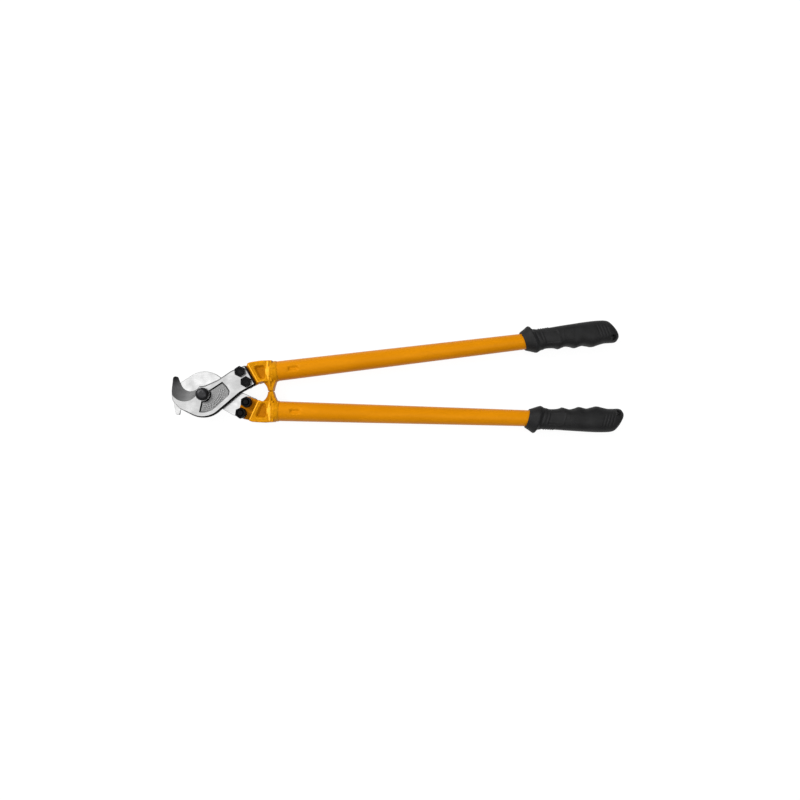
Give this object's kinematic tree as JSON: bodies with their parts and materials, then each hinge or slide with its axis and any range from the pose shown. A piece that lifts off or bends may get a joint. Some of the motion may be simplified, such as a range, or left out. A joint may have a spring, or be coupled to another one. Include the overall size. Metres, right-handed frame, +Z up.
{
  "type": "cable cutter",
  "caption": "Long-handled cable cutter with overlapping hook blades on a pivot bolt, cast sockets, tubular handles and rubber grips.",
  "frame": {"origin": "middle of the tool's box, on the surface that it lies on", "axes": "+X from the jaws to the grips, +Y towards the upper arm's handle, +Z up from the surface, along the pivot's axis"},
  "size_m": [0.5988, 0.1502, 0.035],
  "materials": {
    "blade_steel": "ground and polished faces, blackened edges",
    "black_steel": "black oxide, slightly oily",
    "socket_paint": "orange-yellow paint over a rough casting",
    "tube_paint": "smooth orange-yellow paint, semi-gloss",
    "grip_rubber": "matt moulded rubber"
  },
  "bodies": {
    "lower_arm": {"rear_blade": "blade_steel", "lower_socket": "socket_paint", "lower_tube": "tube_paint", "lower_grip": "grip_rubber", "lower_outer_bolt": "black_steel", "lower_outer_spring_washer": "black_steel", "lower_outer_nut": "black_steel", "lower_inner_bolt": "black_steel", "lower_inner_spring_washer": "black_steel", "lower_inner_nut": "black_steel", "pivot_bolt": "black_steel", "pivot_disc_spring": "black_steel", "pivot_nut": "black_steel"},
    "upper_arm": {"front_blade": "blade_steel", "upper_socket": "socket_paint", "upper_tube": "tube_paint", "upper_grip": "grip_rubber", "upper_outer_bolt": "black_steel", "upper_outer_spring_washer": "black_steel", "upper_outer_nut": "black_steel", "upper_inner_bolt": "black_steel", "upper_inner_spring_washer": "black_steel", "upper_inner_nut": "black_steel"}
  },
  "joints": [
    {"name": "blade_pivot", "type": "hinge", "parent": "lower_arm", "child": "upper_arm", "pos_m": [-0.25792, 0, 0.0175], "axis": [0, 0, 1], "range_deg": [0, 110]}
  ]
}
